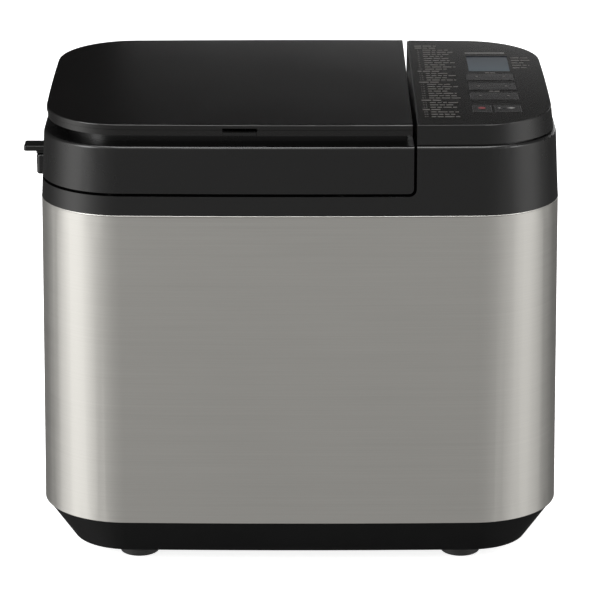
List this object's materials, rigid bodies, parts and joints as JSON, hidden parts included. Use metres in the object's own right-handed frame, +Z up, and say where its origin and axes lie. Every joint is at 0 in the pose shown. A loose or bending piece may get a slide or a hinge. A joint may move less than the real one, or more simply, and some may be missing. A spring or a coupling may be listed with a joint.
{
  "type": "bread machine",
  "caption": "Steel-sleeved bread machine with a rear-hinged lid over a lift-out pan, belt-driven kneading blade, top dispensers and a control panel.",
  "frame": {"origin": "on the floor under the middle of the whole, in the plane of the feet", "axes": "+X to the right (control panel side), +Y to the back, +Z up"},
  "size_m": [0.4107, 0.263, 0.3606],
  "materials": {
    "brushed_steel": "horizontally brushed stainless steel",
    "satin_black": "satin black plastic",
    "plate_black": "satin-gloss black plastic",
    "black_plastic": "matte black plastic",
    "key_black": "glossy black key",
    "printed_film": "matte black film with grey print",
    "display_glass": "bluish grey display window",
    "foot_rubber": "matte black rubber",
    "soft_rubber": "dark grey silicone rubber",
    "belt_rubber": "black drive belt",
    "coated_sheet": "dark grey coated sheet steel",
    "heater_sheath": "oxidised heater sheath",
    "ceramic": "white ceramic",
    "stainless": "polished stainless steel",
    "zinc_steel": "zinc-plated steel",
    "cast_aluminium": "die-cast aluminium",
    "lamination": "laminated motor steel",
    "copper_enamel": "enamelled copper winding",
    "grey_plastic": "grey plastic",
    "board_green": "green circuit board",
    "nonstick": "dark non-stick coated aluminium",
    "nonstick_blade": "dark non-stick coated aluminium"
  },
  "bodies": {
    "housing": {"base_shell": "black_plastic", "feet": "foot_rubber", "outer_sleeve": "brushed_steel", "cord_gland": "soft_rubber", "top_frame": "satin_black", "side_grip": "satin_black", "oven_chamber": "coated_sheet", "heater_element": "heater_sheath", "heater_mounts": "ceramic", "temperature_probe": "stainless", "thermal_fuse": "ceramic", "chassis_plate": "zinc_steel", "chassis_screws": "zinc_steel", "bearing_block": "cast_aluminium", "drive_belt": "belt_rubber", "motor_stator": "lamination", "motor_windings": "copper_enamel", "motor_frame": "zinc_steel", "run_capacitor": "grey_plastic", "power_board": "board_green", "pan_seat": "cast_aluminium", "panel_cover": "satin_black", "panel_overlay": "printed_film", "display_window": "display_glass", "control_board": "board_green"},
    "motor": {"motor_rotor": "lamination", "motor_pulley": "cast_aluminium", "motor_fan": "grey_plastic"},
    "drive": {"drive_shaft": "stainless", "drive_pulley": "grey_plastic", "drive_dog": "cast_aluminium"},
    "pan": {"bread_pan": "nonstick", "pan_base": "cast_aluminium", "pan_lugs": "stainless"},
    "handle": {"pan_handle": "stainless", "handle_grip": "black_plastic"},
    "blade": {"pan_shaft": "stainless", "kneading_blade": "nonstick_blade"},
    "lid": {"lid_shell": "satin_black", "lid_hinge_pins": "stainless", "lid_tab": "satin_black", "lid_gasket": "soft_rubber", "lid_inner_cover": "coated_sheet", "cover_screws": "stainless", "fruit_tray": "black_plastic", "yeast_cup": "black_plastic", "flap_solenoids": "zinc_steel"},
    "fruit_flap": {"fruit_flap": "black_plastic"},
    "yeast_flap": {"yeast_flap": "black_plastic"},
    "dispenser_lid": {"dispenser_plate": "plate_black", "plate_hinge_pins": "stainless", "dispenser_gasket": "soft_rubber"},
    "catch": {"plate_catch": "satin_black"},
    "rocker_timer": {"rocker_timer": "key_black"},
    "rocker_menu": {"rocker_menu": "key_black"},
    "rocker_size": {"rocker_size": "key_black"},
    "key_stop": {"key_stop": "key_black"},
    "key_start": {"key_start": "key_black"}
  },
  "joints": [
    {"name": "lid_hinge", "type": "hinge", "parent": "housing", "child": "lid", "pos_m": [0.0072, 0.117, 0.3115], "axis": [-1, 0, 0], "range_deg": [0, 85]},
    {"name": "dispenser_hinge", "type": "hinge", "parent": "lid", "child": "dispenser_lid", "pos_m": [0.0072, 0.108, 0.35], "axis": [-1, 0, 0], "range_deg": [0, 75]},
    {"name": "catch_press", "type": "slide", "parent": "dispenser_lid", "child": "catch", "axis": [0, 0.9991, 0.042], "range_m": [0, 0.0015], "stiffness_N_per_m": 600},
    {"name": "fruit_flap_hinge", "type": "hinge", "parent": "lid", "child": "fruit_flap", "pos_m": [-0.0828, 0.0335, 0.3024], "axis": [1, 0, 0], "range_deg": [0, 60], "stiffness_Nm_per_rad": 0.02, "springref_deg": -34.38},
    {"name": "yeast_flap_hinge", "type": "hinge", "parent": "lid", "child": "yeast_flap", "pos_m": [0.0092, 0.024, 0.3024], "axis": [1, 0, 0], "range_deg": [0, 60], "stiffness_Nm_per_rad": 0.002, "springref_deg": -34.38},
    {"name": "pan_lift", "type": "slide", "parent": "housing", "child": "pan", "axis": [0, 0, 1], "range_m": [0, 0.024]},
    {"name": "pan_handle_swing", "type": "hinge", "parent": "pan", "child": "handle", "pos_m": [-0.0528, -0.0025, 0.223], "axis": [1, 0, 0], "range_deg": [0, 180]},
    {"name": "motor_spin", "type": "hinge", "parent": "housing", "child": "motor", "pos_m": [0.1352, -0.0025, 0.115], "axis": [0, 0, 1], "continuous": true},
    {"name": "drive_spin", "type": "hinge", "parent": "housing", "child": "drive", "pos_m": [-0.0528, -0.0025, 0.06], "axis": [0, 0, 1], "continuous": true},
    {"name": "blade_spin", "type": "hinge", "parent": "pan", "child": "blade", "pos_m": [-0.0528, -0.0025, 0.11], "axis": [0, 0, 1], "continuous": true},
    {"name": "rocker_timer_tip", "type": "hinge", "parent": "housing", "child": "rocker_timer", "pos_m": [0.1536, 0.00708, 0.356], "axis": [0, 1, 0], "range_deg": [-1.2, 1.2], "stiffness_Nm_per_rad": 0.6},
    {"name": "rocker_menu_tip", "type": "hinge", "parent": "housing", "child": "rocker_menu", "pos_m": [0.1536, -0.01959, 0.35487], "axis": [0, 1, 0], "range_deg": [-1.2, 1.2], "stiffness_Nm_per_rad": 0.6},
    {"name": "rocker_size_tip", "type": "hinge", "parent": "housing", "child": "rocker_size", "pos_m": [0.1536, -0.04557, 0.35378], "axis": [0, 1, 0], "range_deg": [-1.2, 1.2], "stiffness_Nm_per_rad": 0.6},
    {"name": "key_stop_press", "type": "slide", "parent": "housing", "child": "key_stop", "axis": [0, 0.042, -0.9991], "range_m": [0, 0.0005], "stiffness_N_per_m": 1500},
    {"name": "key_start_press", "type": "slide", "parent": "housing", "child": "key_start", "axis": [0, 0.042, -0.9991], "range_m": [0, 0.0005], "stiffness_N_per_m": 1500}
  ],
  "couplings": [
    {"joint": "drive_spin", "follows": "motor_spin", "ratio": 0.21429},
    {"joint": "blade_spin", "follows": "motor_spin", "ratio": 0.21429}
  ]
}
